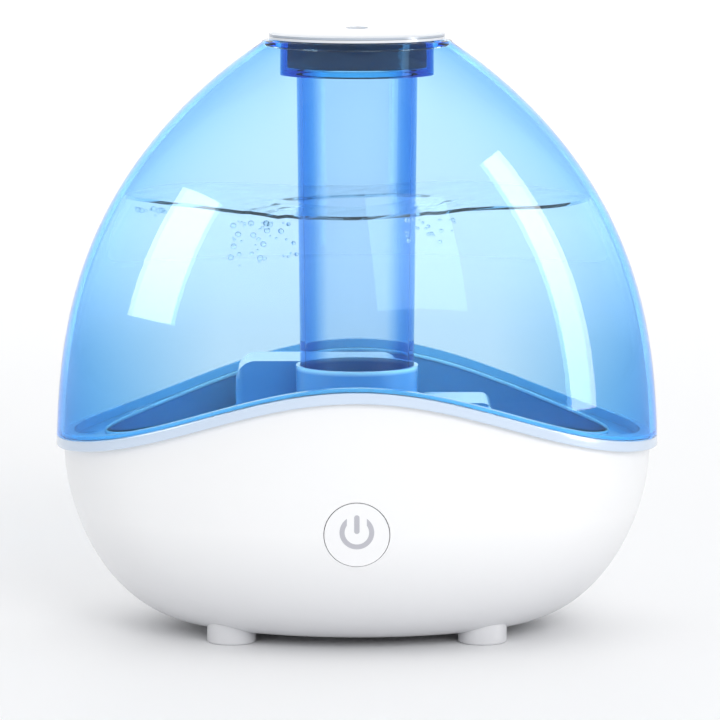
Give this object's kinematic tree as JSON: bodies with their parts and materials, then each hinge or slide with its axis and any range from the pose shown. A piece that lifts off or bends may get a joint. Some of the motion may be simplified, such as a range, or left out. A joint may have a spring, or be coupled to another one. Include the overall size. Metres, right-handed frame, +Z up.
{
  "type": "cool mist humidifier",
  "caption": "Oval tabletop cool mist humidifier: white base with a power button, lift-off clear blue water tank with a central mist tube and a round nozzle on top.",
  "frame": {"origin": "centre of the footprint on the floor plane under the feet", "axes": "+Z up, front with the power button towards -Y, +X to the right seen from the front"},
  "size_m": [0.2198, 0.1542, 0.2201],
  "materials": {
    "white": "satin white moulded plastic",
    "gloss_white": "glossy white moulded plastic",
    "tray_plastic": "fine satin white plastic",
    "clear_blue": "clear blue tinted plastic, polished",
    "pale_blue": "translucent blue plastic, polished",
    "tube_blue": "clear mid blue plastic, polished",
    "socket_blue": "clear deep blue plastic, polished",
    "dark_rubber": "dark blue grey silicone, matt",
    "grey_rubber": "grey silicone, matt",
    "steel": "zinc plated steel",
    "board": "green solder mask",
    "black_plastic": "black moulded plastic",
    "motor": "lacquered laminations and copper winding",
    "aluminium": "extruded, satin",
    "capacitor": "dark blue sleeve",
    "copper": "enamelled copper wire",
    "connector": "natural nylon",
    "ceramic": "glazed ceramic disc",
    "magnet": "dark sintered magnet",
    "float_foam": "closed cell foam",
    "glass_reed": "clear glass",
    "icon_grey": "light grey print",
    "led": "clear epoxy",
    "brass_pin": "plated brass",
    "spring_steel": "bright spring wire",
    "lead_red": "red insulated pair",
    "lead_black": "black insulated pair",
    "lead_white": "white insulated pair"
  },
  "bodies": {
    "base": {"base_shell": "white", "bottom_cover": "white", "cover_screws": "steel", "foot_front_left": "white", "foot_front_right": "white", "foot_rear_left": "white", "foot_rear_right": "white", "basin_tray": "tray_plastic", "water_well": "tray_plastic", "tray_screws": "steel", "air_duct": "tray_plastic", "fan_shroud": "black_plastic", "fan_housing": "black_plastic", "fan_motor": "motor", "fan_screws": "steel", "transducer_disc": "ceramic", "transducer_seal": "grey_rubber", "transducer_clamp": "black_plastic", "transducer_screws": "steel", "float_post": "tray_plastic", "main_board": "board", "board_screws": "steel", "heat_sink": "aluminium", "drive_transistor": "black_plastic", "capacitors": "capacitor", "coil": "copper", "board_connectors": "connector", "level_sensor": "glass_reed", "tact_switch": "steel", "switch_board": "board", "indicator_led": "led", "dc_jack": "black_plastic", "jack_pin": "brass_pin", "fan_lead": "lead_red", "transducer_lead": "lead_white", "jack_lead": "lead_black", "switch_lead": "lead_white"},
    "tank": {"tank_shell": "clear_blue", "tank_bottom": "pale_blue", "duct_hood": "pale_blue", "float_hood": "pale_blue", "tube_collar": "pale_blue", "fill_neck": "pale_blue", "tube_seal": "grey_rubber", "mist_tube": "tube_blue", "nozzle_socket": "socket_blue"},
    "nozzle": {"nozzle_ring": "gloss_white", "nozzle_seal": "dark_rubber"},
    "nozzle_top": {"nozzle_cap": "gloss_white"},
    "cap": {"fill_cap": "gloss_white", "cap_gasket": "grey_rubber", "valve_spring": "spring_steel"},
    "valve": {"valve_plunger": "gloss_white", "valve_seal": "grey_rubber"},
    "float": {"float_body": "float_foam", "float_magnet": "magnet"},
    "rotor": {"fan_rotor": "black_plastic"},
    "button": {"power_button": "gloss_white", "power_icon": "icon_grey", "switch_stem": "black_plastic"}
  },
  "joints": [
    {"name": "tank_lift", "type": "slide", "parent": "base", "child": "tank", "axis": [0, 0, 1], "range_m": [0, 0.1]},
    {"name": "nozzle_lift", "type": "slide", "parent": "tank", "child": "nozzle", "axis": [0, 0, 1], "range_m": [0, 0.03]},
    {"name": "nozzle_turn", "type": "hinge", "parent": "nozzle", "child": "nozzle_top", "pos_m": [0, 0, 0.217], "axis": [0, 0, 1], "continuous": true},
    {"name": "cap_twist", "type": "hinge", "parent": "tank", "child": "cap", "pos_m": [-0.052, -0.01, 0.05], "axis": [0, 0, 1], "range_deg": [0, 60]},
    {"name": "valve_drop", "type": "slide", "parent": "cap", "child": "valve", "axis": [0, 0, 1], "range_m": [-0.0034, 0], "deforming": ["valve_spring"]},
    {"name": "float_rise", "type": "slide", "parent": "base", "child": "float", "axis": [0, 0, 1], "range_m": [0, 0.007]},
    {"name": "fan_spin", "type": "hinge", "parent": "base", "child": "rotor", "pos_m": [-0.024, 0.0305, 0.023], "axis": [0, 0, 1], "continuous": true},
    {"name": "power_press", "type": "slide", "parent": "base", "child": "button", "axis": [0, 0.9942, 0.108], "range_m": [0, 0.001], "stiffness_N_per_m": 800}
  ],
  "couplings": [
    {"joint": "valve_drop", "follows": "tank_lift", "ratio": -0.034}
  ]
}
